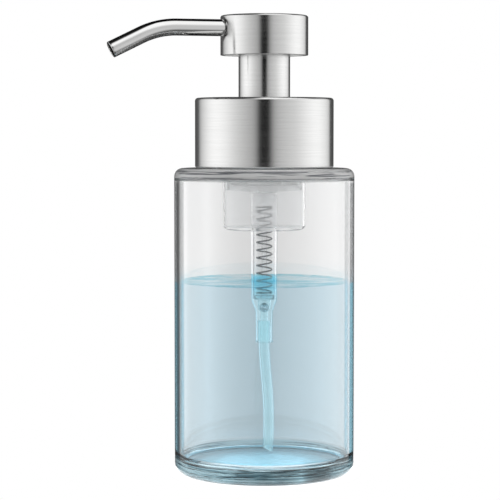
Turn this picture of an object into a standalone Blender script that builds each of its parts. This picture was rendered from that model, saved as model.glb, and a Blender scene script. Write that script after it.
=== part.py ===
"""A foaming soap dispenser: a round glass bottle with a screw-on pump that mixes soap with air.

Run with:  blender --background --python part.py

The origin is the centre of the bottle's underside, +Z is up and the spout points to -X.
Dimensions are in millimetres, and MM turns them into Blender's metres.
Parts that touch on the real object stand GAP apart, so that each one stays a separate solid.
"""

import math

import bmesh
import bpy
from mathutils import Matrix, Vector

MM = 0.001
GAP = 0.3
MERGE = 0.00001
WIDE = 32

# Bottle
BOTTLE_R = 35.0
BOTTLE_WALL = 2.4
BOTTLE_FLOOR_Z = 6.0
BOTTLE_HEEL = 4.0
SHOULDER_Z = 118.8
SHOULDER_ROUND = 3.2
CEILING_Z = 114.6
NECK_BORE_R = 17.4
NECK_R = 19.8
LIP_Z = 136.0

# Screw thread, right-handed, between the neck and the closure
THREAD_PITCH = 4.23
THREAD_TURNS = 1.3
THREAD_LOW_Z = 127.7
NECK_RIDGE = 1.2
CLOSURE_RIDGE = 1.1
CLOSURE_BORE_R = 21.6

# Stack clamped between the neck's lip and the closure
GASKET_Z = LIP_Z + GAP
GASKET_THICK = 1.2
FLANGE_Z = GASKET_Z + GASKET_THICK + GAP
FLANGE_THICK = 1.5
FLANGE_R = 20.5
GUIDE_Z = FLANGE_Z + FLANGE_THICK + GAP
GUIDE_THICK = 1.4
GUIDE_BORE_R = 10.5
GUIDE_TUBE_R = 12.0
GUIDE_LOW_Z = 121.0
CLOSURE_WEB_Z = GUIDE_Z + GUIDE_THICK + GAP

# Collar
COLLAR_R = 26.9
COLLAR_LOW_Z = 119.2
COLLAR_TOP_Z = 146.0
SHEET = 0.6

# Pump housing: the air cylinder above, the liquid cylinder below
AIR_BORE_R = 15.2
AIR_OUTER_TOP_R = 16.4
AIR_OUTER_LOW_R = 16.0
AIR_FLOOR_Z = 96.2
AIR_UNDERSIDE_Z = 94.9
LIQUID_BORE_R = 4.2
UPSTAND_R = 5.0
UPSTAND_TOP_Z = 109.3
LEDGE_Z = 67.65
BALL_CHAMBER_R = 2.35
BALL_R = 1.85
BALL_Z = 64.6
INLET_R = 1.3
SOCKET_LOW_Z = 51.0
SOCKET_END_Z = 59.5

# Dip tube
TUBE_R = 2.1
TUBE_BORE_R = 1.5
TUBE_LOW_Z = 8.0
TUBE_BOW = 1.9

# Return spring and sealing rod
ROD_BASE_THICK = 1.35
ROD_R = 0.9
SPRING_R = 2.95
SPRING_WIRE_R = 0.3
SPRING_PITCH = 3.0
SPRING_END_PITCH = 0.7
SPRING_TOP_Z = 104.2

# Stem and pistons
STROKE = 13.0
PISTON_LOW_Z = SPRING_TOP_Z + GAP
PISTON_LIP_R = LIQUID_BORE_R - GAP
PISTON_ROD_R = 3.1
PISTON_TOP_Z = 129.0
STEM_LOW_Z = 109.9
STEM_FOOT_R = 9.0
STEM_STOP_Z = 119.2
STEM_GRIP_Z = UPSTAND_TOP_Z + STROKE + 2 * GAP
STEM_R = 9.2
STEM_TOP_Z = 168.0
CARTRIDGE_Z = 142.0
AIR_PISTON_R = AIR_BORE_R - GAP
WEB_Z = 113.0

# Sleeve, head and spout
SLEEVE_R = 10.0
SLEEVE_WALL = 0.5
SLEEVE_LOW_Z = 136.0
SLEEVE_TOP_Z = 164.3
HEAD_R = 17.0
HEAD_LOW_Z = 162.4
HEAD_TOP_Z = 177.7
SPOUT_R = 3.25
SPOUT_WALL = 0.5
SPOUT_Z = 172.8
SPOUT_ROOT_X = 9.0
SPOUT_BEND_X = 35.0
SPOUT_BEND_R = 32.0
SPOUT_DROOP = math.radians(26)
SPOUT_TIP = 13.4


def clear_scene():
    for thing in list(bpy.data.objects):
        bpy.data.objects.remove(thing)


def new_collection(name):
    made = bpy.data.collections.new(name)
    bpy.context.scene.collection.children.link(made)
    return made


def new_material(name, colour, roughness, metallic=0.0, transmission=0.0):
    made = bpy.data.materials.new(name)
    made.use_nodes = True
    shader = made.node_tree.nodes["Principled BSDF"]
    shader.inputs["Base Color"].default_value = (*colour, 1.0)
    shader.inputs["Roughness"].default_value = roughness
    shader.inputs["Metallic"].default_value = metallic
    shader.inputs["Transmission Weight"].default_value = transmission
    made.diffuse_color = (*colour, 1.0)
    return made


def shade(thing):
    thing.data.shade_smooth()
    thing.data.set_sharp_from_angle(angle=math.radians(35))


def place(mesh, name, parent, material):
    """A part's object, in the parts collection, with its material and its joint's empty as parent."""
    thing = bpy.data.objects.new(name, mesh)
    PARTS.objects.link(thing)
    mesh.materials.append(material)
    thing.parent = parent
    return thing


def rounded(corners, steps):
    """The outline through (radius, height, fillet) corners, each fillet an arc of a few steps."""
    outline = []
    for index, (r, z, fillet) in enumerate(corners):
        here = Vector((r, z))
        if not fillet:
            outline.append(here)
            continue
        before = Vector(corners[index - 1][:2]) - here
        after = Vector(corners[(index + 1) % len(corners)][:2]) - here
        half = before.angle(after) / 2
        centre = here + (before.normalized() + after.normalized()).normalized() * fillet / math.sin(half)
        first = here + before.normalized() * fillet / math.tan(half) - centre
        last = here + after.normalized() * fillet / math.tan(half) - centre
        sweep = first.angle_signed(last)
        outline += [centre + Matrix.Rotation(-sweep * k / steps, 2) @ first for k in range(steps + 1)]
    return outline


def turned_mesh(name, corners, closed, steps):
    """A profile in the XZ plane. It runs down the outer side; a closed one comes back up the bore."""
    outline = rounded(corners, steps)
    mesh = bpy.data.meshes.new(name)
    build = bmesh.new()
    points = [build.verts.new((p.x * MM, 0.0, p.y * MM)) for p in outline]
    for a, b in zip(points, points[1:]):
        build.edges.new((a, b))
    if closed:
        build.edges.new((points[-1], points[0]))
    build.to_mesh(mesh)
    build.free()
    return mesh


def turned(name, corners, material, parent, closed=True, segments=24, steps=2):
    """A turned part: its profile with a Screw modifier about the object's own Z axis."""
    part = place(turned_mesh(name, corners, closed, steps), name, parent, material)
    screw = part.modifiers.new("turn", "SCREW")
    screw.steps = segments
    screw.render_steps = segments
    screw.use_merge_vertices = True
    screw.merge_threshold = MERGE
    screw.use_smooth_shade = True
    return part


def curve_tube(name, points, radius, sides, capped):
    """A tube along points, as a mesh. sides is the curve's bevel resolution."""
    curve = bpy.data.curves.new(name, "CURVE")
    curve.dimensions = "3D"
    curve.bevel_depth = radius * MM
    curve.bevel_resolution = sides
    curve.use_fill_caps = capped
    spline = curve.splines.new("POLY")
    spline.points.add(len(points) - 1)
    for target, p in zip(spline.points, points):
        target.co = (p.x * MM, p.y * MM, p.z * MM, 1.0)
    guide = bpy.data.objects.new(name, curve)
    bpy.context.scene.collection.objects.link(guide)
    graph = bpy.context.evaluated_depsgraph_get()
    mesh = bpy.data.meshes.new_from_object(guide.evaluated_get(graph))
    bpy.data.objects.remove(guide)
    build = bmesh.new()
    build.from_mesh(mesh)
    bmesh.ops.remove_doubles(build, verts=build.verts, dist=MERGE)
    bmesh.ops.recalc_face_normals(build, faces=build.faces)
    build.to_mesh(mesh)
    build.free()
    mesh.materials.clear()
    return mesh


def as_tool(thing):
    """Moves a cutter or a shape to be joined out of the parts and hides it."""
    for home in list(thing.users_collection):
        home.objects.unlink(thing)
    CUTTERS.objects.link(thing)
    thing.hide_render = True
    thing.display_type = "WIRE"
    return thing


def combine(part, tool, operation):
    step = part.modifiers.new(tool.name, "BOOLEAN")
    step.operation = operation
    step.solver = "EXACT"
    step.object = tool


def rod_cutter(name, start, end, radius, sides=16):
    """A round cutter between two points."""
    start, end = Vector(start) * MM, Vector(end) * MM
    bpy.ops.mesh.primitive_cylinder_add(vertices=sides, radius=radius * MM, depth=(end - start).length)
    tool = bpy.context.object
    tool.name = name
    tool.rotation_mode = "QUATERNION"
    tool.rotation_quaternion = (end - start).to_track_quat("Z", "X")
    tool.location = (start + end) / 2
    return as_tool(tool)


def box_cutter(name, centre, size):
    bpy.ops.mesh.primitive_cube_add(size=1.0, location=Vector(centre) * MM)
    tool = bpy.context.object
    tool.name = name
    tool.scale = Vector(size) * MM
    return as_tool(tool)


def ring_of_holes(part, count, circle_r, hole_r, low_z, high_z, sides=8):
    for k in range(count):
        angle = 2 * math.pi * k / count
        x, y = circle_r * math.cos(angle), circle_r * math.sin(angle)
        tool = rod_cutter(f"{part.name}_hole_{k}", (x, y, low_z), (x, y, high_z), hole_r, sides)
        combine(part, tool, "DIFFERENCE")


def thread_ridge(name, radius, wire, low_z):
    """A rounded right-handed thread ridge that climbs anticlockwise, seen from above."""
    per_turn = 20
    count = round(THREAD_TURNS * per_turn)
    points = []
    for k in range(count + 1):
        angle = 2 * math.pi * k / per_turn
        height = low_z + THREAD_PITCH * k / per_turn
        points.append(Vector((radius * math.cos(angle), radius * math.sin(angle), height)))
    ridge = bpy.data.objects.new(name, curve_tube(name, points, wire, 1, True))
    bpy.context.scene.collection.objects.link(ridge)
    return as_tool(ridge)


def joint_empty(name, location, parent=None):
    """An empty on a joint's axis. It marks the pieces that move together."""
    empty = bpy.data.objects.new(name, None)
    PARTS.objects.link(empty)
    empty.empty_display_size = 10 * MM
    empty.parent = parent
    empty.location = Vector(location) * MM
    return empty


def make_bottle(parent):
    wall_r = BOTTLE_R - BOTTLE_WALL
    bottle = turned(
        "glass_bottle",
        [
            (0.0, BOTTLE_FLOOR_Z, 0),
            (wall_r, BOTTLE_FLOOR_Z, 5.0),
            (wall_r, CEILING_Z, 3.0),
            (NECK_BORE_R, CEILING_Z, 2.0),
            (NECK_BORE_R, LIP_Z, 0.5),
            (NECK_R, LIP_Z, 0.8),
            (NECK_R, SHOULDER_Z, 1.0),
            (BOTTLE_R, SHOULDER_Z, SHOULDER_ROUND),
            (BOTTLE_R, 0.0, BOTTLE_HEEL),
            (0.0, 0.0, 0),
        ],
        GLASS,
        parent,
        closed=False,
        segments=WIDE,
        steps=3,
    )
    ridge = thread_ridge("neck_thread", NECK_R, NECK_RIDGE, THREAD_LOW_Z)
    combine(bottle, ridge, "UNION")


def make_housing(parent):
    orifice_z = BALL_Z - math.sqrt((BALL_R + GAP) ** 2 - INLET_R**2)
    turned(
        "pump_housing",
        [
            (FLANGE_R, FLANGE_Z + FLANGE_THICK, 0),
            (FLANGE_R, FLANGE_Z, 0),
            (AIR_OUTER_TOP_R, FLANGE_Z, 0),
            (AIR_OUTER_LOW_R, AIR_UNDERSIDE_Z, 2.0),
            (5.2, AIR_UNDERSIDE_Z, 0.8),
            (5.0, 67.5, 0),
            (3.3, 63.0, 0),
            (3.2, SOCKET_LOW_Z + 0.8, 0),
            (3.5, SOCKET_LOW_Z, 0),
            (TUBE_R + GAP, SOCKET_LOW_Z, 0),
            (TUBE_R + GAP, SOCKET_END_Z, 0),
            (INLET_R, SOCKET_END_Z, 0),
            (INLET_R, orifice_z, 0),
            (BALL_CHAMBER_R, orifice_z + 1.3, 0),
            (BALL_CHAMBER_R, LEDGE_Z, 0),
            (LIQUID_BORE_R, LEDGE_Z, 0),
            (LIQUID_BORE_R, UPSTAND_TOP_Z, 0),
            (UPSTAND_R, UPSTAND_TOP_Z, 0),
            (UPSTAND_R, AIR_FLOOR_Z, 0),
            (AIR_BORE_R, AIR_FLOOR_Z, 0.8),
            (AIR_BORE_R, FLANGE_Z + FLANGE_THICK, 0),
        ],
        CLEAR_PLASTIC,
        parent,
    )
    turned(
        "neck_gasket",
        [
            (20.2, GASKET_Z + GASKET_THICK, 0),
            (20.2, GASKET_Z, 0),
            (17.6, GASKET_Z, 0),
            (17.6, GASKET_Z + GASKET_THICK, 0),
        ],
        SEAL,
        parent,
    )
    turned(
        "guide_ring",
        [
            (FLANGE_R, GUIDE_Z + GUIDE_THICK, 0),
            (FLANGE_R, GUIDE_Z, 0),
            (AIR_BORE_R - GAP, GUIDE_Z, 0),
            (AIR_BORE_R - GAP, GUIDE_Z - 3.0, 0),
            (GUIDE_TUBE_R, GUIDE_Z - 3.0, 0),
            (GUIDE_TUBE_R, GUIDE_LOW_Z, 0),
            (GUIDE_BORE_R, GUIDE_LOW_Z, 0),
            (GUIDE_BORE_R, GUIDE_Z + GUIDE_THICK, 0),
        ],
        WHITE_PLASTIC,
        parent,
    )


def tube_path():
    """The dip tube's line: straight in its socket, then bowed a little to +X as extruded tube is."""
    count = 9
    top, straight_z = SOCKET_END_Z - GAP, SOCKET_LOW_Z - 1.0
    path = [Vector((0.0, 0.0, top))]
    for k in range(count):
        share = k / (count - 1)
        bow = TUBE_BOW * (1 - math.cos(1.6 * math.pi * share)) / 2
        path.append(Vector((bow, 0.0, straight_z + (TUBE_LOW_Z - straight_z) * share)))
    return path


def hollow_tube(name, path, radius, wall, sides, material, parent):
    """A pipe along a path: an open tube with a Solidify modifier that thickens it inwards."""
    part = place(curve_tube(name, path, radius, sides, False), name, parent, material)
    shell = part.modifiers.new("wall", "SOLIDIFY")
    shell.thickness = wall * MM
    shell.offset = -1.0
    shell.use_even_offset = True
    shade(part)
    return part


def make_inlet(parent, ball_parent):
    hollow_tube("dip_tube", tube_path(), TUBE_R, TUBE_R - TUBE_BORE_R, 3, CLEAR_PLASTIC, parent)
    mesh = bpy.data.meshes.new("inlet_ball")
    build = bmesh.new()
    bmesh.ops.create_uvsphere(build, u_segments=12, v_segments=8, radius=BALL_R * MM)
    build.to_mesh(mesh)
    build.free()
    ball = place(mesh, "inlet_ball", ball_parent, STEEL)
    shade(ball)


def spring_path():
    """The spring's wire: a closed coil at each end and open coils at SPRING_PITCH between them."""
    low = LEDGE_Z + GAP + ROD_BASE_THICK + GAP + SPRING_WIRE_R
    high = SPRING_TOP_Z - SPRING_WIRE_R
    open_turns = (high - low - 2 * SPRING_END_PITCH) / SPRING_PITCH
    per_turn = 8
    count = round((open_turns + 2) * per_turn)
    path = []
    for k in range(count + 1):
        turn = (open_turns + 2) * k / count
        opened = min(max(turn - 1, 0), open_turns)
        closed = turn - opened
        height = low + SPRING_PITCH * opened + SPRING_END_PITCH * closed
        angle = 2 * math.pi * turn
        path.append(Vector((SPRING_R * math.cos(angle), SPRING_R * math.sin(angle), height)))
    return path


def make_spring_and_rod(parent):
    spring = place(
        curve_tube("return_spring", spring_path(), SPRING_WIRE_R, 1, True), "return_spring", parent, STEEL
    )
    shade(spring)
    base_z = LEDGE_Z + GAP
    seat_z = PISTON_LOW_Z + 3.4
    rod = turned(
        "sealing_rod",
        [
            (0.0, seat_z + 2.7, 0),
            (1.3, seat_z + 2.7, 0),
            (1.9, seat_z + 2.1, 0),
            (1.9, seat_z + 0.7, 0),
            (ROD_R, seat_z, 0),
            (ROD_R, base_z + ROD_BASE_THICK, 0),
            (LIQUID_BORE_R - GAP, base_z + ROD_BASE_THICK, 0),
            (LIQUID_BORE_R - GAP, base_z, 0),
            (0.0, base_z, 0),
        ],
        WHITE_PLASTIC,
        parent,
        closed=False,
        segments=16,
    )
    ring_of_holes(rod, 4, 1.75, 0.6, base_z - 1, base_z + ROD_BASE_THICK + 0.2)


def make_liquid_piston(parent):
    seat_z = PISTON_LOW_Z + 3.1
    turned(
        "liquid_piston",
        [
            (PISTON_ROD_R, PISTON_TOP_Z, 0),
            (PISTON_ROD_R, PISTON_LOW_Z + 5.1, 0),
            (PISTON_LIP_R, PISTON_LOW_Z + 4.1, 0),
            (PISTON_LIP_R, PISTON_LOW_Z, 0.4),
            (INLET_R, PISTON_LOW_Z, 0),
            (INLET_R, seat_z, 0),
            (2.2, seat_z + 0.7, 0),
            (2.2, PISTON_TOP_Z, 0),
        ],
        WHITE_PLASTIC,
        parent,
    )


def make_air_piston(parent):
    hub_low, hub_high, web_thick = STEM_LOW_Z + 1.6, STEM_STOP_Z - 1.8, 1.4
    skirt_low, skirt_high, skirt_r = WEB_Z - 2.6, WEB_Z + 3.4, AIR_PISTON_R - 1.1
    piston = turned(
        "air_piston",
        [
            (AIR_PISTON_R, skirt_high, 0),
            (AIR_PISTON_R - 0.4, skirt_high - 1.0, 0),
            (AIR_PISTON_R - 0.4, skirt_low + 1.0, 0),
            (AIR_PISTON_R, skirt_low, 0),
            (skirt_r, skirt_low, 0),
            (skirt_r, WEB_Z, 0),
            (8.0, WEB_Z, 0),
            (8.0, hub_low, 0),
            (6.8, hub_low, 0),
            (6.8, hub_high, 0),
            (8.0, hub_high, 0),
            (8.0, WEB_Z + web_thick, 0),
            (skirt_r, WEB_Z + web_thick, 0),
            (skirt_r, skirt_high, 0),
        ],
        WHITE_PLASTIC,
        parent,
    )
    ring_of_holes(piston, 6, 10.8, 0.7, WEB_Z - 1, WEB_Z + web_thick + 1)
    disc_top = WEB_Z - GAP
    turned(
        "air_valve_disc",
        [(12.6, disc_top, 0), (12.6, disc_top - 0.5, 0), (8.3, disc_top - 0.5, 0), (8.3, disc_top, 0)],
        SEAL,
        parent,
    )


def make_stem(parent):
    chamber_z = PISTON_TOP_Z + 0.6
    stem = turned(
        "pump_stem",
        [
            (STEM_R, STEM_TOP_Z, 0),
            (STEM_R, 134.0, 0),
            (6.2, 131.0, 0),
            (6.2, STEM_STOP_Z + 1.5, 0),
            (GUIDE_TUBE_R, STEM_STOP_Z + 1.5, 0),
            (GUIDE_TUBE_R, STEM_STOP_Z, 0),
            (6.5, STEM_STOP_Z, 0),
            (6.5, STEM_LOW_Z + 1.3, 0),
            (STEM_FOOT_R, STEM_LOW_Z + 1.3, 0),
            (STEM_FOOT_R, STEM_LOW_Z, 0),
            (5.6, STEM_LOW_Z, 0),
            (5.6, STEM_GRIP_Z, 0),
            (PISTON_ROD_R + GAP, STEM_GRIP_Z, 0),
            (PISTON_ROD_R + GAP, chamber_z, 0),
            (4.5, chamber_z + 0.9, 0),
            (4.5, 131.0, 0),
            (5.6, 134.0, 0),
            (5.6, CARTRIDGE_Z - GAP, 0),
            (7.0, CARTRIDGE_Z - GAP, 0),
            (7.0, STEM_TOP_Z, 0),
        ],
        WHITE_PLASTIC,
        parent,
    )
    low, high = STEM_GRIP_Z - 0.5, chamber_z + 0.5
    for k in range(2):
        size = (9.0, 1.4) if k == 0 else (1.4, 9.0)
        tool = box_cutter(f"air_channel_{k}", (0, 0, (low + high) / 2), (*size, high - low))
        combine(stem, tool, "DIFFERENCE")
        reach = Vector((7.0, 0, 0)) if k == 0 else Vector((0, 7.0, 0))
        height = Vector((0, 0, STEM_LOW_Z + 2.6))
        tool = rod_cutter(f"air_port_{k}", height - reach, height + reach, 0.8, 8)
        combine(stem, tool, "DIFFERENCE")


def make_foamer(parent):
    """The cartridge that makes the foam: a tube with a mesh disc under and over it."""
    outer_r, inner_r, length, mesh_thick = 6.7, 5.4, 22.0, 0.4
    tube_z = CARTRIDGE_Z + mesh_thick + GAP
    turned(
        "foam_cartridge",
        [
            (outer_r, tube_z + length, 0),
            (outer_r, tube_z, 0),
            (inner_r, tube_z, 0),
            (inner_r, tube_z + length, 0),
        ],
        WHITE_PLASTIC,
        parent,
    )
    for name, low in (("lower_mesh", CARTRIDGE_Z), ("upper_mesh", tube_z + length + GAP)):
        disc = turned(
            name,
            [(0.0, low + mesh_thick, 0), (outer_r, low + mesh_thick, 0), (outer_r, low, 0), (0.0, low, 0)],
            WHITE_PLASTIC,
            parent,
            closed=False,
        )
        ring_of_holes(disc, 6, 3.6, 1.2, low - 1, low + mesh_thick + 1)


def spout_path():
    """The spout's centre line: level out of the head, one even bend, then straight to its mouth."""
    steps = 6
    path = [Vector((-SPOUT_ROOT_X, 0.0, SPOUT_Z)), Vector((-SPOUT_BEND_X, 0.0, SPOUT_Z))]
    for k in range(1, steps + 1):
        angle = SPOUT_DROOP * k / steps
        across = SPOUT_BEND_X + SPOUT_BEND_R * math.sin(angle)
        path.append(Vector((-across, 0.0, SPOUT_Z - SPOUT_BEND_R * (1 - math.cos(angle)))))
    tip = Vector((-math.cos(SPOUT_DROOP), 0.0, -math.sin(SPOUT_DROOP))) * SPOUT_TIP
    path.append(path[-1] + tip)
    return path


def make_head(parent):
    turned(
        "stem_sleeve",
        [
            (SLEEVE_R, SLEEVE_TOP_Z, 0),
            (SLEEVE_R, SLEEVE_LOW_Z, 0),
            (SLEEVE_R - SLEEVE_WALL, SLEEVE_LOW_Z, 0),
            (SLEEVE_R - SLEEVE_WALL, SLEEVE_TOP_Z, 0),
        ],
        STEEL,
        parent,
    )
    inner_r, hole_r = HEAD_R - SHEET, SPOUT_R + GAP
    core_low, core_top = HEAD_LOW_Z + 1.0, HEAD_TOP_Z - SHEET - GAP
    core = turned(
        "head_core",
        [
            (0.0, core_top, 0),
            (inner_r - GAP, core_top, 0.9),
            (inner_r - GAP, core_low, 0),
            (SLEEVE_R + GAP, core_low, 0),
            (SLEEVE_R + GAP, SLEEVE_TOP_Z + GAP, 0),
            (STEM_R + GAP, SLEEVE_TOP_Z + GAP, 0),
            (STEM_R + GAP, STEM_TOP_Z + GAP, 0),
            (5.5, STEM_TOP_Z + GAP, 0),
            (5.5, SPOUT_Z + 3.1, 0),
            (0.0, SPOUT_Z + 3.1, 0),
        ],
        WHITE_PLASTIC,
        parent,
        closed=False,
    )
    duct = rod_cutter("foam_duct", (-1, 0, SPOUT_Z), (-HEAD_R, 0, SPOUT_Z), SPOUT_R - SPOUT_WALL)
    combine(core, duct, "DIFFERENCE")
    socket_x = -(SPOUT_ROOT_X - GAP)
    socket = rod_cutter("spout_socket", (socket_x, 0, SPOUT_Z), (-HEAD_R - 3, 0, SPOUT_Z), hole_r)
    combine(core, socket, "DIFFERENCE")
    shell = turned(
        "head_shell",
        [
            (0.0, HEAD_TOP_Z, 0),
            (HEAD_R, HEAD_TOP_Z, 1.3),
            (HEAD_R, HEAD_LOW_Z, 0),
            (inner_r, HEAD_LOW_Z, 0),
            (inner_r, HEAD_TOP_Z - SHEET, 0.7),
            (0.0, HEAD_TOP_Z - SHEET, 0),
        ],
        STEEL,
        parent,
        closed=False,
        segments=WIDE,
    )
    hole = rod_cutter("spout_hole", (-12, 0, SPOUT_Z), (-HEAD_R - 3, 0, SPOUT_Z), hole_r)
    combine(shell, hole, "DIFFERENCE")
    hollow_tube("spout_tube", spout_path(), SPOUT_R, SPOUT_WALL, 5, STEEL, parent)


def make_closure(parent):
    inner_r = COLLAR_R - SHEET
    turned(
        "collar_shell",
        [
            (GUIDE_BORE_R, COLLAR_TOP_Z, 0),
            (COLLAR_R, COLLAR_TOP_Z, 1.2),
            (COLLAR_R, COLLAR_LOW_Z, 1.2),
            (24.8, COLLAR_LOW_Z, 0),
            (24.8, COLLAR_LOW_Z + SHEET, 0),
            (inner_r, COLLAR_LOW_Z + SHEET, 0.6),
            (inner_r, COLLAR_TOP_Z - SHEET, 0.6),
            (GUIDE_BORE_R, COLLAR_TOP_Z - SHEET, 0),
        ],
        STEEL,
        parent,
        segments=WIDE,
    )
    low, top, outer_r = COLLAR_LOW_Z + SHEET + GAP, COLLAR_TOP_Z - SHEET - GAP, inner_r - GAP
    insert = turned(
        "closure_insert",
        [
            (GUIDE_BORE_R, top, 0),
            (outer_r, top, 0.6),
            (outer_r, low, 0),
            (outer_r - 1.1, low, 0),
            (outer_r - 1.1, CLOSURE_WEB_Z - 1.8, 0),
            (CLOSURE_BORE_R + 1.6, CLOSURE_WEB_Z - 1.8, 0),
            (CLOSURE_BORE_R + 1.6, low, 0),
            (CLOSURE_BORE_R, low, 0),
            (CLOSURE_BORE_R, CLOSURE_WEB_Z, 0),
            (GUIDE_BORE_R, CLOSURE_WEB_Z, 0),
        ],
        WHITE_PLASTIC,
        parent,
        segments=WIDE,
    )
    low_z = THREAD_LOW_Z - THREAD_PITCH / 2
    ridge = thread_ridge("closure_thread", CLOSURE_BORE_R, CLOSURE_RIDGE, low_z)
    combine(insert, ridge, "UNION")


clear_scene()
PARTS = new_collection("foaming_soap_dispenser")
CUTTERS = new_collection("cutters")

GLASS = new_material("clear_glass", (0.90, 0.95, 0.95), 0.02, transmission=1.0)
STEEL = new_material("brushed_steel", (0.62, 0.62, 0.61), 0.30, metallic=1.0)
WHITE_PLASTIC = new_material("natural_plastic", (0.86, 0.88, 0.88), 0.40)
CLEAR_PLASTIC = new_material("translucent_plastic", (0.88, 0.92, 0.93), 0.25, transmission=0.7)
SEAL = new_material("soft_seal", (0.80, 0.81, 0.80), 0.60)

BOTTLE = joint_empty("bottle_frame", (0, 0, 0))
PUMP_BODY = joint_empty("pump_raise_axis", (0, 0, 0), BOTTLE)
CLOSURE = joint_empty("closure_turn_axis", (0, 0, 0), PUMP_BODY)
PLUNGER = joint_empty("pump_press_axis", (0, 0, 0), PUMP_BODY)
AIR_PISTON = joint_empty("air_piston_slip_axis", (0, 0, 0), PLUNGER)
HEAD = joint_empty("head_swivel_axis", (0, 0, 0), PLUNGER)
BALL = joint_empty("inlet_ball_lift_axis", (0, 0, BALL_Z), PUMP_BODY)

make_bottle(BOTTLE)
make_housing(PUMP_BODY)
make_inlet(PUMP_BODY, BALL)
make_spring_and_rod(PUMP_BODY)
make_liquid_piston(PLUNGER)
make_air_piston(AIR_PISTON)
make_stem(HEAD)
make_foamer(HEAD)
make_head(HEAD)
make_closure(CLOSURE)
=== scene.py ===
"""The looks of a foaming soap dispenser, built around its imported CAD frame.

Lengths in outlines are millimetres, and MM turns them into metres. The bottle's axis is the Z axis
and the spout points to -X. Every turned piece takes its place and outer size from its CAD node's box.
"""

import math
from functools import cached_property

import bmesh
import bpy
import numpy as np
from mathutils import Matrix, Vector


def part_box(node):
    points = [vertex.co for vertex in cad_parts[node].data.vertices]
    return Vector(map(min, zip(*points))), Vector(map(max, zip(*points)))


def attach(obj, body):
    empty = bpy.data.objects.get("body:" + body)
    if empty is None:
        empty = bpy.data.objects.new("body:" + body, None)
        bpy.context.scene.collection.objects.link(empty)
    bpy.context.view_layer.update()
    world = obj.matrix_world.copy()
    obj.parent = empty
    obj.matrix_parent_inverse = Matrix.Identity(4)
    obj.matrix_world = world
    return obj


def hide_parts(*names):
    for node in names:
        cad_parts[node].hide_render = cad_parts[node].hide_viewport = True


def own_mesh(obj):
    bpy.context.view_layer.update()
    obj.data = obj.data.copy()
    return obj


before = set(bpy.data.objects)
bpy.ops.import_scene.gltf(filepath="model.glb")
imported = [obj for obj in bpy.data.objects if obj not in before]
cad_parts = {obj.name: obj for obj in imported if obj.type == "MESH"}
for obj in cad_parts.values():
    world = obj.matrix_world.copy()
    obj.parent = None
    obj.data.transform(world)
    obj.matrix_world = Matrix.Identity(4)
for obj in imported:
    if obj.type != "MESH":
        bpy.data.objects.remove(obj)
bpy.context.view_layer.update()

MM = 0.001
GAP = 0.3
SEGMENTS = 160
SHARP_ANGLE = math.radians(40)

# The camera: how far from the axis, how high, and how it is turned
VIEW_AZIMUTH = math.radians(-17.0)
CAMERA_DISTANCE = 739 * MM
CAMERA_HEIGHT = 133.4 * MM
CAMERA_PITCH = math.radians(3.6)
CAMERA_YAW = math.radians(0.43)
CAMERA_LENS = 136.8

# Screw thread between the neck and the closure
THREAD_PITCH = 4.23
THREAD_TURNS = 1.3

SOAP_LEVEL = 74.9
# The soap stands a little higher inside the primed pump.
PUMP_LEVEL = SOAP_LEVEL + 2.2


# ---------------------------------------------------------------- shapes


def span(node):
    """(radius, lowest, highest) of a turned CAD node, in millimetres."""
    low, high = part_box(node)
    return max(high.x, high.y) / MM, low.z / MM, high.z / MM


def rounded(corners, steps=5):
    """The outline through (radius, height, fillet) corners, each fillet an arc of a few steps."""
    outline = []
    for index, (r, z, fillet) in enumerate(corners):
        here = Vector((r, z))
        if not fillet:
            outline.append(here)
            continue
        before = Vector(corners[index - 1][:2]) - here
        after = Vector(corners[(index + 1) % len(corners)][:2]) - here
        half = before.angle(after) / 2
        reach = min(fillet / math.tan(half), 0.48 * before.length, 0.48 * after.length)
        radius = reach * math.tan(half)
        centre = here + (before.normalized() + after.normalized()).normalized() * radius / math.sin(half)
        first = here + before.normalized() * reach - centre
        last = here + after.normalized() * reach - centre
        sweep = first.angle_signed(last)
        for k in range(steps + 1):
            angle = sweep * k / steps
            c, s = math.cos(angle), math.sin(angle)
            outline.append(centre + Vector((c * first.x + s * first.y, c * first.y - s * first.x)))
    return [(p.x, p.y) for p in outline]


def supported(outline, closed, inset=0.1, longest=3.0):
    """The outline with points near the ends of its long runs, which keep smooth shading flat there."""
    points = []
    count = len(outline)
    for k in range(count if closed else count - 1):
        a, b = np.array(outline[k]), np.array(outline[(k + 1) % count])
        run = np.linalg.norm(b - a)
        points.append(tuple(a))
        if run > 5 * inset:
            between = np.linspace(0, 1, max(2, math.ceil(run / longest) + 1))[1:-1]
            shares = [inset / run, *between, 1 - inset / run]
            points += [tuple(a + (b - a) * t) for t in shares]
    if not closed:
        points.append(outline[-1])
    return points


def smoothed(mesh):
    """The mesh, shaded smooth except across its sharp edges."""
    mesh.shade_smooth()
    mesh.set_sharp_from_angle(angle=SHARP_ANGLE)
    return mesh


def placed(name, mesh):
    """An object that shows the mesh."""
    thing = bpy.data.objects.new(name, smoothed(mesh))
    bpy.context.scene.collection.objects.link(thing)
    return thing


def finish_mesh(name, vertices, faces):
    """A smooth-shaded object from vertices in millimetres."""
    mesh = bpy.data.meshes.new(name)
    mesh.from_pydata([tuple(v) for v in np.asarray(vertices) * MM], [], faces)
    build = bmesh.new()
    build.from_mesh(mesh)
    bmesh.ops.remove_doubles(build, verts=build.verts, dist=0.002 * MM)
    bmesh.ops.recalc_face_normals(build, faces=build.faces)
    build.to_mesh(mesh)
    build.free()
    return placed(name, mesh)


def ring_faces(rings, sides, closed):
    """Quads between neighbouring rings of vertices."""
    faces = []
    for k in range(rings if closed else rings - 1):
        low, high = k * sides, ((k + 1) % rings) * sides
        for s in range(sides):
            t = (s + 1) % sides
            faces.append((low + s, low + t, high + t, high + s))
    return faces


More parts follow.
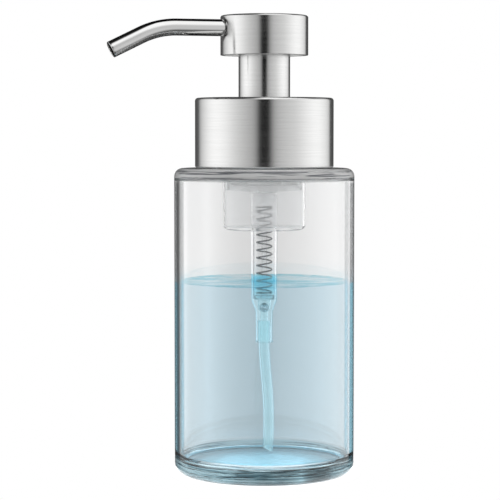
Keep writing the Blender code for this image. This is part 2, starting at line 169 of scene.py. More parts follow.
def lathe(name, corners, closed=True, steps=5, segments=None, shape=None):
    """A turned piece. shape(r, z, angle), if given, returns each point's own (r, z)."""
    segments = segments or SEGMENTS
    outline = np.array(supported(rounded(corners, steps), closed))
    angle = np.linspace(0, 2 * np.pi, segments, endpoint=False)
    r = np.repeat(outline[:, :1], segments, 1)
    z = np.repeat(outline[:, 1:], segments, 1)
    if shape:
        r, z = shape(r, z, angle[None, :])
    points = np.stack([r * np.cos(angle), r * np.sin(angle), z], -1).reshape(-1, 3)
    return finish_mesh(name, points, ring_faces(len(outline), segments, closed))


def frames_along(path, s):
    """Position, tangent and two side directions on a path at the arc lengths s."""
    steps = np.diff(path, axis=0)
    length = np.concatenate([[0], np.cumsum(np.linalg.norm(steps, axis=1))])
    tangents = np.gradient(path, axis=0)
    tangents /= np.linalg.norm(tangents, axis=1)[:, None]
    side = np.cross(tangents[0], (0.0, 1.0, 0.0))
    if np.linalg.norm(side) < 0.1:
        side = np.cross(tangents[0], (1.0, 0.0, 0.0))
    sides = []
    for t in tangents:
        side = side - t * (side @ t)
        side /= np.linalg.norm(side)
        sides.append(side)
    sides = np.array(sides)

    def at(values):
        return np.stack([np.interp(s, length, values[:, a]) for a in range(3)], -1)

    t, u = at(tangents), at(sides)
    t /= np.linalg.norm(t, axis=1)[:, None]
    u -= t * (u * t).sum(1)[:, None]
    u /= np.linalg.norm(u, axis=1)[:, None]
    return at(path), t, u, np.cross(t, u)


# How much of a slanted tube, back from its end, is drawn out into the slant
SLANT_REACH = 4.0


def swept(name, path, section, sides=32, closed=True, slant=0.0):
    """A piece turned about a curved line. section(length) gives its (arc length, radius) outline.

    slant cuts the far end at an angle: the tangent of that angle.
    """
    path = np.asarray(path, float)
    total = np.linalg.norm(np.diff(path, axis=0), axis=1).sum()
    outline = np.array(section(total))
    place, t, u, v = frames_along(path, outline[:, 0])
    angle = np.linspace(0, 2 * np.pi, sides, endpoint=False)
    ring = np.cos(angle)[None, :, None] * u[:, None] + np.sin(angle)[None, :, None] * v[:, None]
    points = place[:, None] + outline[:, 1][:, None, None] * ring
    if slant:
        near = np.clip(1 - (total - outline[:, 0]) / SLANT_REACH, 0, 1)
        back = slant * outline[:, 1][:, None] * (np.cos(angle)[None] - 1) * near[:, None]
        points = points + back[..., None] * t[:, None]
    return finish_mesh(name, points.reshape(-1, 3), ring_faces(len(outline), sides, closed))


def pipe_section(outer, inner, lip, step):
    """The outline of a pipe's wall, with its rims rounded."""
    turn = np.linspace(0, np.pi, 9)[1:-1]
    middle, half = (outer + inner) / 2, (outer - inner) / 2

    def section(total):
        along = np.linspace(lip, total - lip, max(2, math.ceil(total / step)))
        far = [(total - lip + lip * math.sin(a), middle + half * math.cos(a)) for a in turn]
        near = [(lip - lip * math.sin(a), middle - half * math.cos(a)) for a in turn]
        return [(s, outer) for s in along] + far + [(s, inner) for s in along[::-1]] + near

    return section


def wire_section(radius, step):
    """The outline of a solid wire with rounded ends."""
    turn = np.linspace(0, np.pi / 2, 5)

    def section(total):
        along = np.linspace(radius, total - radius, max(2, math.ceil(total / step)))
        near = [(radius * (1 - math.cos(a)), radius * math.sin(a)) for a in turn[:-1]]
        far = [(total - radius * (1 - math.sin(a)), radius * math.cos(a)) for a in turn[1:]]
        return near + [(s, radius) for s in along] + far

    return section


def rod_tool(start, end, radius, sides=64):
    """A solid round cutter between two points."""
    return swept(
        "cutter",
        np.linspace(start, end, 3),
        lambda total: [(0, 0), (0, radius), (total, radius), (total, 0)],
        sides,
        closed=False,
    )


def box_tool(centre, size):
    """A block-shaped cutter."""
    x, y, z = (np.array(size) / 2).tolist()
    corners = [(a * x, b * y, c * z) for a in (-1, 1) for b in (-1, 1) for c in (-1, 1)]
    faces = [(0, 1, 3, 2), (4, 6, 7, 5), (0, 4, 5, 1), (2, 3, 7, 6), (0, 2, 6, 4), (1, 5, 7, 3)]
    return finish_mesh("cutter", np.array(corners) + np.array(centre), faces)


def ring_of_tools(count, distance, low, high, radius):
    """Upright round cutters, evenly spaced round the axis."""
    tools = []
    for k in range(count):
        angle = 2 * math.pi / count * k
        x, y = distance * math.cos(angle), distance * math.sin(angle)
        tools.append(rod_tool((x, y, low), (x, y, high), radius, 24))
    return tools


def cut(piece, *tools):
    """Cuts each tool out of the piece, and removes the tools."""
    for tool in tools:
        step = piece.modifiers.new("cut", "BOOLEAN")
        step.operation = "DIFFERENCE"
        step.solver = "EXACT"
        step.object = tool
    graph = bpy.context.evaluated_depsgraph_get()
    made = bpy.data.meshes.new_from_object(piece.evaluated_get(graph))
    piece.modifiers.clear()
    piece.data = smoothed(made)
    for tool in tools:
        bpy.data.objects.remove(tool)
    return piece


def joined(name, pieces):
    """One object from several, in place."""
    build = bmesh.new()
    for piece in pieces:
        build.from_mesh(piece.data)
        bpy.data.objects.remove(piece)
    mesh = bpy.data.meshes.new(name)
    build.to_mesh(mesh)
    build.free()
    return placed(name, mesh)


def use(piece, body, slot, material, *nodes):
    """Puts a finished piece on its body, in place of its CAD nodes."""
    piece.data.materials.clear()
    piece.data.materials.append(material)
    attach(piece, body)
    if nodes:
        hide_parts(*nodes)
    return piece


def helix_rise(z, angle, low, height, half_width):
    """How far a screw ridge stands out at each point: a rounded ridge that fades in and out at its ends."""
    rise = np.zeros(np.broadcast(z, angle).shape)
    for turn in range(math.ceil(THREAD_TURNS) + 1):
        along = angle / (2 * np.pi) + turn
        centre = low + THREAD_PITCH * along
        near = np.clip(1 - np.abs(z - centre) / half_width, 0, 1)
        ends = np.clip(along / 0.12, 0, 1) * np.clip((THREAD_TURNS - along) / 0.12, 0, 1)
        rise = np.maximum(rise, height * np.sin(near * np.pi / 2) ** 1.3 * ends)
    return rise


def stacked(r, high, low, step):
    """Corners down a straight wall, close enough together to carry a screw thread."""
    return [(r, z, 0) for z in np.linspace(high, low, math.ceil((high - low) / step) + 1)]


# ---------------------------------------------------------------- materials


class Material:
    """A Principled material, with short ways to add nodes. Heights and radii are in millimetres.

    A value may be a node's socket, a number or an (r, g, b) colour.
    """

    def __init__(self, name, **values):
        self.material = bpy.data.materials.new(name)
        self.material.use_nodes = True
        self.tree = self.material.node_tree
        self.shader = self.tree.nodes["Principled BSDF"]
        for key, value in values.items():
            self.give(value, self.shader.inputs[key.replace("_", " ").title().replace("Ior", "IOR")])

    def give(self, value, socket):
        if isinstance(value, bpy.types.NodeSocket):
            self.tree.links.new(value, socket)
        else:
            socket.default_value = (*value, 1.0) if isinstance(value, tuple) else value

    def set(self, name, value):
        self.give(value, self.shader.inputs[name])

    def add(self, kind, inputs=(), **settings):
        node = self.tree.nodes.new(kind)
        for key, value in settings.items():
            setattr(node, key, value)
        for key, value in dict(inputs).items():
            self.give(value, node.inputs[key])
        return node

    def math(self, operation, *values):
        return self.add("ShaderNodeMath", enumerate(values), operation=operation).outputs[0]

    def total(self, first, *others):
        for value in others:
            first = self.math("ADD", first, value)
        return first

    def product(self, first, *others):
        for value in others:
            first = self.math("MULTIPLY", first, value)
        return first

    @cached_property
    def here(self):
        """The piece's own coordinates."""
        return self.add("ShaderNodeTexCoord").outputs["Object"]

    @cached_property
    def axes(self):
        """The piece's own x, y and z."""
        return self.add("ShaderNodeSeparateXYZ", {0: self.here}).outputs

    @cached_property
    def radius(self):
        """The distance from the bottle's axis."""
        x, y, _ = self.axes
        return self.math("SQRT", self.total(self.product(x, x), self.product(y, y)))

    @cached_property
    def facing(self):
        """0 where the surface is seen square on, and 1 at its outline."""
        return self.add("ShaderNodeLayerWeight", {"Blend": 0.5}).outputs["Facing"]

    def stretched(self, along_x, along_y, along_z):
        """The piece's own coordinates, each times a number, or with z given by a socket instead."""
        x, y, z = self.axes
        given = isinstance(along_z, bpy.types.NodeSocket)
        upright = along_z if given else self.product(z, along_z)
        scaled = {0: self.product(x, along_x), 1: self.product(y, along_y), 2: upright}
        return self.add("ShaderNodeCombineXYZ", scaled).outputs[0]

    def noise(self, vector, scale, detail=3.0, roughness=0.5, distortion=0.0):
        inputs = {"Vector": vector, "Scale": scale, "Detail": detail}
        inputs |= {"Roughness": roughness, "Distortion": distortion}
        return self.add("ShaderNodeTexNoise", inputs).outputs["Fac"]

    def spread(self, value, low, high, to_low=0.0, to_high=1.0, smooth=False):
        """Goes from to_low to to_high as the value goes from low to high, and no further."""
        inputs = {"Value": value, "From Min": low, "From Max": high, "To Min": to_low, "To Max": to_high}
        kind = "SMOOTHSTEP" if smooth else "LINEAR"
        return self.add("ShaderNodeMapRange", inputs, interpolation_type=kind).outputs["Result"]

    def by_height(self, low, high, to_low=0.0, to_high=1.0, smooth=False):
        return self.spread(self.axes[2], low * MM, high * MM, to_low, to_high, smooth)

    def by_radius(self, low, high, to_low=0.0, to_high=1.0, smooth=False):
        return self.spread(self.radius, low * MM, high * MM, to_low, to_high, smooth)

    def mixed(self, share, a, b):
        """A colour between a and b."""
        return self.add("ShaderNodeMix", {0: share, 6: a, 7: b}, data_type="RGBA").outputs[2]

    def absorb(self, colour, density):
        """Tints light by how far it goes inside the piece."""
        volume = self.add("ShaderNodeVolumeAbsorption", {"Color": colour, "Density": density})
        self.give(volume.outputs[0], self.tree.nodes["Material Output"].inputs["Volume"])

    def bump(self, height, strength, distance):
        inputs = {"Height": height, "Strength": strength, "Distance": distance}
        self.set("Normal", self.add("ShaderNodeBump", inputs).outputs[0])


def steel(name, brush, roughness, anisotropic, colour=(0.71, 0.71, 0.705)):
    """Steel brushed round its axis: fine scratches that follow the turning, on sides and flats alike."""
    m = Material(name, base_color=colour, metallic=1.0, roughness=roughness, anisotropic=anisotropic)
    m.set("Anisotropic Rotation", 0.25)
    m.set("Tangent", m.add("ShaderNodeTangent", direction_type="RADIAL", axis="Z").outputs[0])
    across = m.product(m.total(m.axes[2], m.radius), 3200.0)
    scratch = m.noise(m.stretched(45.0, 45.0, across), 1.0, 4.0, 0.65)
    broad = m.noise(m.here, 60.0, 2.0)
    dark, light = (tuple(c * k for c in colour) for k in (1 - 0.5 * brush, 1 + 0.25 * brush))
    m.set("Base Color", m.mixed(m.spread(scratch, 0.3, 0.7), dark, light))
    fine = m.spread(scratch, 0.25, 0.75, roughness - 0.05, roughness + 0.05)
    m.set("Roughness", m.total(fine, m.spread(broad, 0.3, 0.7, -0.015, 0.015)))
    m.bump(scratch, 0.12 * brush, 0.4 * MM)
    return m.material


def polished(name, colour=(0.74, 0.74, 0.735)):
    """Drawn steel, nearly polished, with faint lengthways lines and a few soft marks."""
    m = Material(name, base_color=colour, metallic=1.0, roughness=0.12)
    drawn = m.noise(m.stretched(40.0, 1500.0, 1500.0), 1.0, 3.0, 0.6)
    marks = m.noise(m.here, 220.0, 3.0)
    m.set("Base Color", m.mixed(drawn, *(tuple(c * k for c in colour) for k in (0.95, 1.05))))
    m.set("Roughness", m.total(m.spread(drawn, 0.3, 0.7, 0.04, 0.10), m.spread(marks, 0.4, 0.7, 0.0, 0.03)))
    m.bump(drawn, 0.03, 0.1 * MM)
    return m.material


def glass(name):
    """Clear pressed glass: tinted where soap wets it, with a painted dark outline down its sides, a
    blue-green foot deepened with painted shade, and painted dark streaks in its foot and shoulder.
    """
    m = Material(name, transmission_weight=1.0, ior=1.5, roughness=0.0)
    cloud, ripple = m.noise(m.here, 25.0, 2.0), m.noise(m.here, 70.0, 2.0)

    # The side: "near" grows down to the soap's surface, and "wet" is the part below it.
    near = m.math("POWER", m.by_height(SOAP_LEVEL + 14, SOAP_LEVEL - 0.2), 4.0)
    wet = m.by_height(SOAP_LEVEL + 0.15, SOAP_LEVEL - 0.15)
    dry = m.mixed(near, (1.0, 1.0, 1.0), (0.95, 0.985, 0.995))
    damp = m.mixed(cloud, (0.84, 0.915, 0.945), (0.88, 0.935, 0.96))
    body = m.mixed(m.product(wet, m.by_radius(29, 32, 0.2, 1.0)), dry, damp)
    blueness = m.total(m.product(near, 0.3), m.product(wet, 0.7))
    # Painted shade: the rim colour is a dark outline where the sides turn away from view, bluer near the
    # soap, in place of the edges that refraction darkens.
    rim = m.mixed(blueness, (0.16, 0.165, 0.17), (0.07, 0.25, 0.36))
    side = m.product(m.spread(m.facing, 0.65, 0.72, smooth=True), m.by_height(115, 113))
    walls_with_painted_outline = m.mixed(side, body, rim)

    # Streaks run round the axis, through the foot and the shoulder: ripples in the bump, and dark lines
    # painted into the colour in place of the lines that refraction draws there.
    inwards = m.product(m.radius, m.by_height(60, 61, 1.0, -1.0))
    across = m.product(m.total(m.axes[2], inwards), 1000.0)
    streak = m.noise(m.stretched(38.0, 38.0, across), 1.0, 2.0, 0.6, 0.6)
    painted_streak = m.spread(streak, 0.50, 0.58, smooth=True)

    # The foot is the thick glass's own blue-green, deepened with painted shade and painted dark streaks that
    # stand in for the dark surroundings it refracts.
    foot_side = m.product(m.by_height(7.6, 5.8, smooth=True), m.by_radius(33.6, 34.2))
    foot_turn = m.product(m.by_height(4.2, 3.4), m.by_radius(30.2, 31.2))
    foot = m.math("MAXIMUM", foot_side, foot_turn)
    shoulder = m.by_height(115.0, 115.6)
    crown = m.by_height(117.7, 118.5, smooth=True)
    footed = m.mixed(foot, walls_with_painted_outline, m.mixed(painted_streak, (0.52, 0.76, 0.84), (0.06, 0.16, 0.21)))
    # Painted shade: dark streak lines in the shoulder, fainter on its crown.
    dark = m.product(painted_streak, shoulder, m.spread(crown, 0.0, 1.0, 1.0, 0.2))
    m.set("Base Color", m.mixed(dark, footed, (0.22, 0.23, 0.25)))

    haze = m.product(shoulder, m.spread(crown, 0.0, 1.0, 0.6, 0.75), m.spread(cloud, 0.3, 0.7, 0.9, 1.05))
    milky = m.product(m.spread(m.facing, 0.3, 0.6, 0.0, 0.45), m.by_height(1.6, 3.4), foot)
    m.set("Transmission Weight", m.math("SUBTRACT", 1.0, m.math("MAXIMUM", haze, milky)))
    m.set("Roughness", m.spread(cloud, 0.3, 0.8, 0.0, 0.012))
    drawn = m.product(streak, m.math("MAXIMUM", foot, m.product(shoulder, 0.5)))
    m.bump(m.total(m.product(ripple, 0.1), m.product(drawn, 1.2)), 0.5, 0.15 * MM)
    m.absorb((0.52, 0.56, 0.57), 16.0)
    return m.material


def soap(name):
    """Thin blue liquid soap. It bends no light, so that the pump inside it keeps its width."""
    m = Material(name, base_color=(1.0, 1.0, 1.0), transmission_weight=1.0, ior=1.0, roughness=0.0)
    m.absorb((0.30, 0.72, 0.92), 3.6)
    return m.material


def soap_top(name):
    """The soap's surface: a clear skin that bends and mirrors nothing, so soft streaks of deeper blue are
    painted on it in place of its ripples' reflections; it is bluer towards the wall and round the pump.
    """
    m = Material(name, transmission_weight=0.92, ior=1.0, roughness=0.05)
    # Painted reflection: these streaks stand in for what the ripples would mirror.
    streak = m.noise(m.stretched(42.0, 190.0, 0.0), 1.0, 4.0, 0.6, 1.8)
    rims = m.total(m.by_radius(24, 32.5, 0.0, 0.2), m.by_radius(15, 6, 0.0, 0.5))
    share = m.total(m.spread(streak, 0.42, 0.60, 0.0, 0.9, True), rims)
    m.set("Base Color", m.mixed(share, (0.95, 0.99, 1.0), (0.42, 0.78, 0.88)))
    m.set("Roughness", m.spread(streak, 0.3, 0.7, 0.02, 0.12))
    m.bump(streak, 0.2, 0.4 * MM)
    return m.material


def wetted(m, dry, wet, deep):
    """A colour that is dry above the soap, strongly tinted just under it and paler further down."""
    under = m.by_height(PUMP_LEVEL + 0.4, PUMP_LEVEL - 0.4)
    down = m.by_height(PUMP_LEVEL - 2, PUMP_LEVEL - 9)
    return m.mixed(under, dry, m.mixed(down, wet, deep)), under


def clear_plastic(name):
    """Thin natural polypropylene with flow lines down its length, a frosted bore inside its wide cup, a
    painted dark outline where it turns away, and a painted glow under the soap and in the cup.
    """
    m = Material(name, transmission_weight=0.9, ior=1.08, roughness=0.05)
    lines = m.noise(m.stretched(700.0, 700.0, 60.0), 1.0, 3.0, 0.6)
    dry = m.mixed(lines, (0.95, 0.955, 0.96), (1.0, 1.0, 1.0))
    colour, under = wetted(m, dry, (0.50, 0.88, 0.98), (0.95, 1.0, 1.0))
    cup = m.by_height(92, 97, smooth=True)
    # Painted shade: a dark outline where the surface turns away from view, bluer under the soap and left out
    # inside the cup.
    turned = m.math("SUBTRACT", m.facing, m.spread(cup, 0.0, 1.0, 0.0, 0.32))
    painted_outline = m.mixed(under, (0.66, 0.68, 0.70), (0.44, 0.64, 0.73))
    m.set("Base Color", m.mixed(m.spread(turned, 0.4, 0.75, smooth=True), colour, painted_outline))
    # Painted light: the plastic glows faintly, cyan under the soap and white in the cup, though nothing
    # lights it from inside.
    painted_glow = m.mixed(lines, (0.20, 0.62, 0.72), (0.34, 0.74, 0.82))
    m.set("Emission Color", m.mixed(under, (1.0, 1.0, 1.0), painted_glow))
    m.set("Emission Strength", m.total(m.product(under, 0.045), m.product(cup, 0.012)))
    clear = m.math("SUBTRACT", m.spread(cup, 0.0, 1.0, 0.97, 0.91), m.product(under, 0.07))
    m.set("Transmission Weight", clear)
    bore = m.product(cup, m.by_radius(7, 5.5, 0.1, 0.45))
    m.set("Roughness", m.total(bore, m.spread(lines, 0.3, 0.7, 0.0, 0.02)))
    m.bump(lines, 0.08, 0.08 * MM)
    return m.material


def white_plastic(name):
    """Satin moulded polypropylene: nearly opaque where it is thick, clearer in the thin parts low down, which
    carry a painted dark outline and a faint painted glow.
    """
    m = Material(name, transmission_weight=0.7, ior=1.08, roughness=0.2)
    cloud, grain = m.noise(m.here, 90.0, 3.0), m.noise(m.here, 1800.0, 2.0)
    dry = m.mixed(cloud, (0.94, 0.95, 0.955), (0.99, 0.99, 0.99))
    colour = wetted(m, dry, (0.60, 0.88, 0.96), (0.86, 0.97, 1.0))[0]
    # Painted shade: low down, a dark outline where the surface turns away from view.
    turned = m.math("SUBTRACT", m.facing, m.by_height(96, 104))
    m.set("Base Color", m.mixed(m.spread(turned, 0.3, 0.65, smooth=True), colour, (0.12, 0.14, 0.16)))
    clear = m.math("SUBTRACT", m.by_height(103, 107, 0.93, 0.75), m.by_height(118, 122, 0.0, 0.5))
    m.set("Transmission Weight", clear)
    # Painted light: the low parts glow faintly though nothing lights them from inside.
    m.set("Emission Color", (1.0, 1.0, 1.0))
    m.set("Emission Strength", m.by_height(96, 104, 0.0, 0.035))
    m.set("Roughness", m.total(m.by_height(103, 107, 0.03, 0.2), m.spread(grain, 0.3, 0.7, 0.0, 0.06)))
    m.bump(grain, 0.08, 0.03 * MM)
    return m.material


def seal(name):
    """Soft closed-cell foam, slightly pitted."""
    m = Material(name, roughness=0.7)
    cells = m.add("ShaderNodeTexVoronoi", {"Vector": m.here, "Scale": 2600.0}).outputs["Distance"]
    cloud = m.noise(m.here, 120.0, 3.0)
    m.set("Base Color", m.mixed(cloud, (0.74, 0.75, 0.74), (0.84, 0.85, 0.84)))
    m.set("Roughness", m.spread(cells, 0.0, 0.6, 0.6, 0.8))
    m.bump(cells, 0.4, 0.05 * MM)
    return m.material


BRUSHED = steel("brushed_steel", 0.14, 0.2, 0.8)
POLISHED = polished("polished_steel")
# Painted shade: the spring and the ball get darker copies of the polished steel, standing in for the shade
# they sit in inside the pump.
SHADED_SPRING_STEEL = polished("spring_steel", (0.14, 0.145, 0.15))
SHADED_BALL_STEEL = polished("ball_steel", (0.36, 0.39, 0.42))
GLASS = glass("clear_glass")
SOAP = soap("soap")
SOAP_TOP = soap_top("soap_top")
CLEAR_PLASTIC = clear_plastic("translucent_plastic")
WHITE_PLASTIC = white_plastic("natural_plastic")
SEAL = seal("soft_seal")


# ---------------------------------------------------------------- bottle and soap


BOTTLE_WALL = 2.0
BOTTLE_FLOOR = 5.2
BOTTLE_HEEL = 4.0
FLOOR_FILLET = 3.6
SHOULDER_Z = 118.8
CEILING_Z = 115.2
NECK_R = 19.8
NECK_BORE_R = 17.4
NECK_THREAD_Z = 127.7


def heel(radius, low):
    """Corners down the foot of the side and round the heel, close together to carry the moulded ripples."""
    straight = [(radius, z, 0) for z in np.arange(low + 9.0, low + BOTTLE_HEEL, -0.25)]
    turn = np.linspace(0, np.pi / 2, 22)
    centre = radius - BOTTLE_HEEL
    bend = [(centre + BOTTLE_HEEL * math.cos(a), low + BOTTLE_HEEL * (1 - math.sin(a)), 0) for a in turn]
    return straight + bend


def make_bottle():
    radius, low, lip = span("glass_bottle")
    wall = radius - BOTTLE_WALL

    def moulded(r, z, angle):
        """Adds the screw thread on the neck and faint rings of ripples round the foot."""
        on_neck = (np.abs(r - NECK_R) < 0.01) & (z > SHOULDER_Z + 2) & (z < lip - 1)
        r = r + on_neck * helix_rise(z, angle, NECK_THREAD_Z, 1.2, 1.35)
        on_foot = (r > radius - BOTTLE_HEEL) & (z < low + 9)
        fade = np.clip((low + 9 - z) / 5, 0, 1) * np.clip((r - radius + BOTTLE_HEEL) / 1.5, 0, 1) * on_foot
        along = z - 0.8 * (radius - r) + 0.35 * np.sin(2 * angle + 0.7) + 0.2 * np.sin(5 * angle + 2.0)
        wave = np.sin(2 * np.pi * along / 1.5) + 0.6 * np.sin(2 * np.pi * along / 0.83 + 3 * np.sin(angle))
        return r - 0.05 * fade * (1.6 + wave), z

    bottle = lathe(
        "bottle_glass",
        [
            (0.0, BOTTLE_FLOOR, 0),
            (wall, BOTTLE_FLOOR, FLOOR_FILLET),
            (wall, CEILING_Z, 1.2),
            (NECK_BORE_R, CEILING_Z, 2.0),
            (NECK_BORE_R, lip, 0.5),
            (NECK_R, lip, 0.8),
            *stacked(NECK_R, lip - 1.2, SHOULDER_Z + 1.6, 0.35),
            (NECK_R, SHOULDER_Z, 1.2),
            (radius, SHOULDER_Z, 3.2),
            *heel(radius, low),
            (30.4, low, 0.3),
            (29.8, low + 0.5, 0.5),
            (0.0, low + 0.6, 0),
        ],
        closed=False,
        steps=8,
        shape=moulded,
    )
    use(bottle, "bottle", "clear_glass", GLASS, "glass_bottle")


def make_soap():
    radius = span("glass_bottle")[0] - BOTTLE_WALL - 0.04
    floor = BOTTLE_FLOOR + 0.04
    liquid = lathe(
        "soap_liquid",
        [
            (0.0, floor, 0),
            (radius, floor, FLOOR_FILLET),
            (radius, SOAP_LEVEL - 0.3, 0),
            (0.0, SOAP_LEVEL - 0.3, 0),
        ],
        closed=False,
        steps=8,
    )
    use(liquid, "bottle", None, SOAP)
    inner = 5.45
    surface = lathe(
        "soap_surface",
        [
            (radius, SOAP_LEVEL + 0.3, 0),
            (radius - 0.3, SOAP_LEVEL + 0.08, 0),
            (radius - 0.9, SOAP_LEVEL, 0),
            (inner + 0.8, SOAP_LEVEL, 0),
            (inner + 0.25, SOAP_LEVEL + 0.1, 0),
            (inner, SOAP_LEVEL + 0.4, 0),
            (inner, SOAP_LEVEL - 0.2, 0),
            (radius - 0.9, SOAP_LEVEL - 0.2, 0),
            (radius, SOAP_LEVEL + 0.2, 0),
        ],
        steps=2,
    )
    use(surface, "bottle", None, SOAP_TOP)


# ---------------------------------------------------------------- pump body


def make_pump_body():
    flange_r, low, top = span("pump_housing")
    housing = lathe(
        "pump_housing_clear",
        [
            (flange_r, top, 0.2),
            (flange_r, top - 1.5, 0.2),
            (16.4, top - 1.5, 0.4),
            (16.0, 94.9, 2.0),
            (5.2, 94.9, 0.8),
            (5.0, 67.5, 0.6),
            (3.3, 63.0, 0.5),
            (3.2, low + 0.8, 0.4),
            (3.5, low, 0.12),
            (2.4, low, 0.15),
            (2.4, 59.5, 0),
            (1.3, 59.5, 0),
            (1.3, 62.89, 0),
            (2.35, 64.19, 0),
            (2.35, 67.65, 0.15),
            (4.2, 67.65, 0.3),
            (4.2, 109.3, 0.2),
            (5.0, 109.3, 0.2),
            (5.0, 96.2, 0.5),
            (15.2, 96.2, 0.8),
            (15.2, top, 0.2),
        ],
        steps=4,
    )
    use(housing, "pump_body", "translucent_plastic", CLEAR_PLASTIC, "pump_housing")

    seal_r, low, top = span("neck_gasket")
    gasket = lathe(
        "neck_gasket_foam",
        [(seal_r, top, 0.25), (seal_r, low, 0.25), (17.6, low, 0.25), (17.6, top, 0.25)],
        steps=4,
    )
    use(gasket, "pump_body", "soft_seal", SEAL, "neck_gasket")

    ring_r, low, top = span("guide_ring")
    guide = lathe(
        "guide_ring_moulded",
        [
            (ring_r, top, 0.2),
            (ring_r, top - 1.4, 0.2),
            (14.9, top - 1.4, 0),
            (14.9, top - 4.4, 0.2),
            (12.0, top - 4.4, 0.2),
            (12.0, low, 0.3),
            (10.5, low, 0.3),
            (10.5, top, 0.3),
        ],
        steps=4,
    )
    use(guide, "pump_body", "natural_plastic", WHITE_PLASTIC, "guide_ring")


def tube_line():
    """The dip tube's centre line: straight in its socket, then bowed a little to one side."""
    low, high = (p.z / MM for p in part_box("dip_tube"))
    straight, bow = 50.0, 1.9
    share = np.linspace(0, 1, 40)
    z = straight + (low - straight) * share
    x = bow * (1 - np.cos(1.35 * np.pi * share**0.85)) / 2
    lower = np.stack([x, 0 * x, z], -1)
    return np.concatenate([[(0.0, 0.0, high), (0.0, 0.0, 55.0)], lower])


def make_dip_tube():
    tube = swept("dip_tube_clear", tube_line(), pipe_section(2.1, 1.5, 0.12, 1.2), 40, slant=0.45)
    use(tube, "pump_body", "translucent_plastic", CLEAR_PLASTIC, "dip_tube")


def make_ball():
    low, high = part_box("inlet_ball")
    radius, centre = (high.z - low.z) / 2 / MM, (high.z + low.z) / 2 / MM
    turn = np.linspace(np.pi / 2, -np.pi / 2, 33)
    ball = lathe(
        "inlet_ball_steel",
        [(radius * math.cos(a), centre + radius * math.sin(a), 0) for a in turn],
        closed=False,
        segments=64,
    )
    use(ball, "inlet_valve", "polished_steel", SHADED_BALL_STEEL, "inlet_ball")


def make_rod():
    rod_r, low, top = span("sealing_rod")
    seat = top - 2.7
    rod = lathe(
        "sealing_rod_moulded",
        [
            (0.0, top, 0),
            (1.3, top, 0.2),
            (1.9, top - 0.6, 0.2),
            (1.9, seat + 0.7, 0.15),
            (0.9, seat, 0.2),
            (0.9, low + 1.35, 0.3),
            (rod_r, low + 1.35, 0.25),
            (rod_r, low, 0.25),
            (0.0, low, 0),
        ],
        closed=False,
        steps=4,
        segments=64,
    )
    holes = ring_of_tools(4, 1.75, low - 1, low + 1.55, 0.6)
    use(cut(rod, *holes), "pump_body", "natural_plastic", WHITE_PLASTIC, "sealing_rod")


SPRING_WIRE = 0.29
SPRING_PITCH = 3.0


def spring_line():
    """The spring's wire: a closed coil at each end and open coils between them."""
    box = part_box("return_spring")
    end_pitch = 2.1 * SPRING_WIRE
    low, high = box[0].z / MM + SPRING_WIRE, box[1].z / MM - SPRING_WIRE
    radius = box[1].x / MM - SPRING_WIRE
    open_turns = (high - low - 2 * end_pitch) / SPRING_PITCH
    turn = np.linspace(0, open_turns + 2, round((open_turns + 2) * 32) + 1)
    opened = np.clip(turn - 1, 0, open_turns)
    z = low + SPRING_PITCH * opened + end_pitch * (turn - opened)
    return np.stack([radius * np.cos(2 * np.pi * turn), radius * np.sin(2 * np.pi * turn), z], -1)


def make_spring():
    spring = swept("return_spring_steel", spring_line(), wire_section(SPRING_WIRE, 0.5), 14, closed=False)
    use(spring, "pump_body", "polished_steel", SHADED_SPRING_STEEL, "return_spring")
    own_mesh(spring)


# ---------------------------------------------------------------- pistons and stem


def make_pistons():
    lip_r, low, top = span("liquid_piston")
    piston = lathe(
        "liquid_piston_moulded",
        [
            (3.1, top, 0.2),
            (3.1, low + 5.1, 0.6),
            (lip_r, low + 4.1, 0.3),
            (lip_r - 0.12, low + 2.2, 0),
            (lip_r, low, 0.3),
            (1.3, low, 0.15),
            (1.3, low + 3.1, 0),
            (2.2, low + 3.8, 0),
            (2.2, top, 0.15),
        ],
        steps=4,
        segments=96,
    )
    use(piston, "plunger", "natural_plastic", WHITE_PLASTIC, "liquid_piston")

    skirt_r, low, high = span("air_piston")
    web = low + 2.6
    inner = skirt_r - 1.1
    hub_low, hub_high = 111.5, 117.4
    air = lathe(
        "air_piston_moulded",
        [
            (skirt_r, high, 0.15),
            (skirt_r - 0.4, high - 1.0, 0.3),
            (skirt_r - 0.4, low + 1.0, 0.3),
            (skirt_r, low, 0.15),
            (inner, low, 0.15),
            (inner, web, 0.3),
            (8.0, web, 0.3),
            (8.0, hub_low, 0.2),
            (6.8, hub_low, 0.2),
            (6.8, hub_high, 0.2),
            (8.0, hub_high, 0.2),
            (8.0, web + 1.4, 0.4),
            (inner, web + 1.4, 0.4),
            (inner, high, 0.15),
        ],
        steps=4,
    )
    holes = ring_of_tools(6, 10.8, web - 1, web + 2.4, 0.7)
    use(cut(air, *holes), "air_pump", "natural_plastic", WHITE_PLASTIC, "air_piston")

    disc_r, low, high = span("air_valve_disc")
    disc = lathe(
        "air_valve_disc_soft",
        [(disc_r, high, 0.12), (disc_r, low, 0.12), (8.3, low, 0.12), (8.3, high, 0.12)],
        steps=3,
    )
    use(disc, "air_pump", "soft_seal", SEAL, "air_valve_disc")


